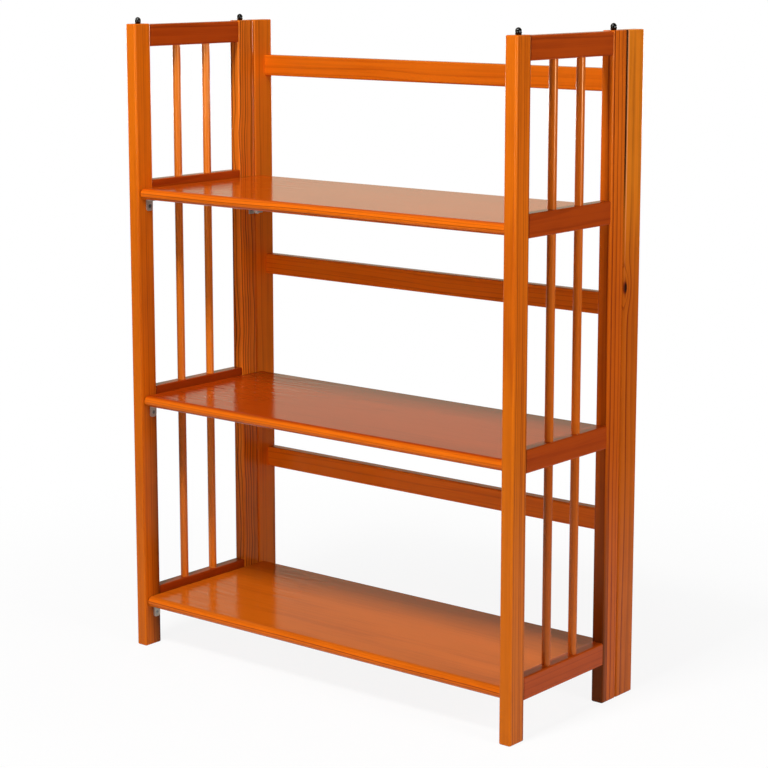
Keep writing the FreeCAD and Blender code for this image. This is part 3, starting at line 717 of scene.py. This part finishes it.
def back_slats():
    """The back frame's slats, one in each bay."""
    slats = [f"back_slat_{level}" for level in LEVELS]
    places = [middle_of(name) * MM for name in slats]
    logs = logs_for(places, SLAT_LOG)
    sizes = board_sizes(slats[0], *SLAT_TENON)
    BOARD.make(
        "back_slats", "back_frame", "slat_wood", slats, places, SLAT_PINE, sizes, logs, tone=SLAT_TONES,
    )


def side_rails(side, body):
    """A side frame's rails, from the bottom up."""
    rails = [f"{side}_{rail}_rail" for rail in (*BAYS, "top")]
    places = [middle_of(name) * MM for name in rails]
    logs = logs_for(places, RAIL_LOG)
    sizes = board_sizes(rails[0], *RAIL_TENON)
    BOARD.make(
        f"side_rails_{side}", body, "rail_wood", rails, places, RAIL_PINE, sizes, logs, tone=RAIL_TONES[side],
    )


def spindles(side, body):
    """A side frame's spindles, two in each bay."""
    dowels = [f"{side}_{bay}_{row}_spindle" for bay in BAYS for row in ("front", "rear")]
    places = [middle_of(name) * MM for name in dowels]
    logs = logs_for(places, SPINDLE_LOG)
    wood = pine(f"pine_spindles_{side}", "Z", *SPINDLE_STAINS[side], **SPINDLE_WOOD)
    sizes = in_metres({"Diameter": size_of(dowels[0]).x})
    own = {"length": [size_of(name).z * MM for name in dowels], "tone": SPINDLE_TONES[side]}
    SPINDLE.make(f"spindles_{side}", body, "spindle_wood", dowels, places, wood, sizes, logs, **own)


def stacking_pins(side, body):
    """A side frame's stacking pins, set where their shanks enter the posts."""
    pins = f"stacking_pins_{side}"
    sizes = in_metres(PIN_SIZES)
    places = []
    for low, high in parts_in(pins, 1):
        places.append(Vector(((low.x + high.x) / 2, (low.y + high.y) / 2, high.z - sizes["Height"])))
    STACKING_PIN.make(f"ball_pins_{side}", body, "stacking_pin_black", [pins], places, BLACK, sizes)


def screws(side, out, holder, sets):
    """The screws of one side in one body, all driven outwards from the inner faces."""
    heads = []
    for low, high in [part for name in sets for part in parts_in(name, 2)]:
        heads.append(Vector((low.x if out > 0 else high.x, (low.y + high.y) / 2, (low.z + high.z) / 2)))
    sizes = {**in_metres(SCREW_SIZES), "Turn": math.radians(-90 * out)}
    SCREW.make(f"screws_{side}_in_{holder}", holder, "screw_nickel", sets, heads, STEEL, sizes)


back_slats()
for side, out in SIDES.items():
    body = f"side_frame_{side}"
    side_rails(side, body)
    spindles(side, body)
    stacking_pins(side, body)
    screws(side, out, "back_frame", [f"hinge_back_screws_{side}"])
    screws(side, out, body, [f"hinge_side_screws_{side}", f"support_screws_{side}"])


# ---------------------------------------------------------------- studio

FLOOR_REACH = 30.0
WHITE, WARM_WHITE, GREY_PAPER = (1, 1, 1, 1), (1, 0.9, 0.66, 1), (0.6, 0.6, 0.6, 1)
# How the white changes: between which two distances, places or heights, and from how much to how much.
PAPER_GLOWS, PAPER_CLOSE_BY = (0.3, 1.3, 0.89, 1.0), (0.7, 1.9, 0.55, 0.08)
PAPER_BEHIND, PAPER_ON_LEFT = (0.3, 1.4, 0.0, 0.8), (-0.3, 0.8, 1.0, 0.0)
ROOM_LOW_DOWN, ROOM_ON_LEFT = (0.08, 0.5, 0.72, 0.2), (-0.1, 0.35, 1.0, 0.15)
# Each softbox: its place, its width and height, and its power.
SOFTBOXES = {
    "key_softbox": ((0.2, -1.9, 3.1), 0.6, 0.6, 84),
    "side_softbox": ((2.7, -0.25, 1.1), 0.8, 1.1, 33),
    "front_fill": ((0.12, -4.4, 0.7), 0.8, 0.7, 33),
    "back_fill": ((0, 4.4, 0.8), 0.8, 0.7, 40),
    "left_fill": ((-3.9, 2.1, 0.8), 0.8, 0.7, 28),
}
LAMPS_AIM_AT = Vector((0, 0, 0.45))
ROOM_LIGHT = 0.07
# The lens in mm, and the camera's place in metres and its aim in degrees.
SENSOR_WIDTH, FOCAL_LENGTH, LENS_SHIFT, LENS_REACH = 36.0, 102.69, -0.0703, 100
CAMERA_PLACE, LOOKS_DOWN, LOOKS_LEFT = (1.96403, -2.39315, 1.03784), 9.8139, 39.1724


def mirrored_white(t, place):
    """How bright the paper is to the lacquer: most behind on the left, less close by and little elsewhere."""
    across, back, _ = t.axes(place)
    close_by = t.ramp(t.length(place), *PAPER_CLOSE_BY)
    behind_left = t.maths("MULTIPLY", t.ramp(back, *PAPER_BEHIND), t.ramp(across, *PAPER_ON_LEFT))
    return t.maths("MAXIMUM", close_by, behind_left)


def studio_floor():
    """White paper that glows by itself, but for a share near the bookcase that keeps the lamps' shadow."""
    mesh = bpy.data.meshes.new("studio_floor")
    corners = [(FLOOR_REACH * x, FLOOR_REACH * y, 0) for x, y in ((-1, -1), (1, -1), (1, 1), (-1, 1))]
    mesh.from_pydata(corners, [], [(0, 1, 2, 3)])
    floor = in_scene("studio_floor", mesh)
    material, t, shader = new_material("white_paper")
    material.node_tree.nodes.remove(shader)
    path = t.add("ShaderNodeLightPath").outputs
    seen = t.maths("ADD", path["Is Glossy Ray"], path["Is Transmission Ray"])
    seen = t.maths("ADD", path["Is Camera Ray"], seen)
    paper = t.get("ShaderNodeBsdfDiffuse", {"Color": t.mix_colours(seen, GREY_PAPER, WHITE)})
    place = t.get("ShaderNodeTexCoord", (), "Object")
    level = t.mix(path["Is Glossy Ray"], 1.0, mirrored_white(t, place))
    glow = t.get("ShaderNodeEmission", {"Color": WHITE, "Strength": level})
    glowing = t.maths("MULTIPLY", seen, t.ramp(t.length(place), *PAPER_GLOWS))
    surface = t.get("ShaderNodeMixShader", {0: glowing, 1: paper, 2: glow})
    t.feed(material.node_tree.nodes["Material Output"], {0: surface})
    mesh.materials.append(material)


def studio_world():
    """White to the camera, dim to the wood, and to the lacquer a warm sweep, brightest low on the left."""
    world = bpy.data.worlds.new("studio")
    bpy.context.scene.world = world
    world.use_nodes = True
    t = Tree(world.node_tree)
    path = t.add("ShaderNodeLightPath").outputs
    across, _, height = t.axes(t.get("ShaderNodeTexCoord", (), "Generated"))
    sweep = t.maths("MULTIPLY", t.ramp(height, *ROOM_LOW_DOWN), t.ramp(across, *ROOM_ON_LEFT))
    level = t.mix(path["Is Glossy Ray"], ROOM_LIGHT, sweep)
    clear = t.maths("ADD", path["Is Camera Ray"], path["Is Transmission Ray"])
    level = t.mix(clear, level, 1.0)
    warmth = t.mix_colours(path["Is Glossy Ray"], WHITE, WARM_WHITE)
    t.feed(world.node_tree.nodes["Background"], {"Strength": level, "Color": warmth})


def softbox(name, place, width, height, power):
    """A soft rectangular lamp, aimed at the middle of the bookcase."""
    lamp = bpy.data.lights.new(name, "AREA")
    lamp.shape = "RECTANGLE"
    lamp.size, lamp.size_y, lamp.energy = width, height, power
    box = in_scene(name, lamp)
    box.location = place
    box.rotation_euler = (LAMPS_AIM_AT - Vector(place)).to_track_quat("-Z", "Y").to_euler()


def studio_camera():
    """A long lens in front of the bookcase on its right, looking a little down."""
    lens = bpy.data.cameras.new("camera")
    lens.sensor_width, lens.lens = SENSOR_WIDTH, FOCAL_LENGTH
    lens.shift_y, lens.clip_end = LENS_SHIFT, LENS_REACH
    camera = in_scene("camera", lens)
    camera.location = CAMERA_PLACE
    camera.rotation_euler = (math.radians(90 - LOOKS_DOWN), 0, math.radians(LOOKS_LEFT))
    bpy.context.scene.camera = camera


studio_floor()
studio_world()
for name, lamp in SOFTBOXES.items():
    softbox(name, *lamp)
studio_camera()
bpy.context.scene.view_settings.view_transform = "Standard"
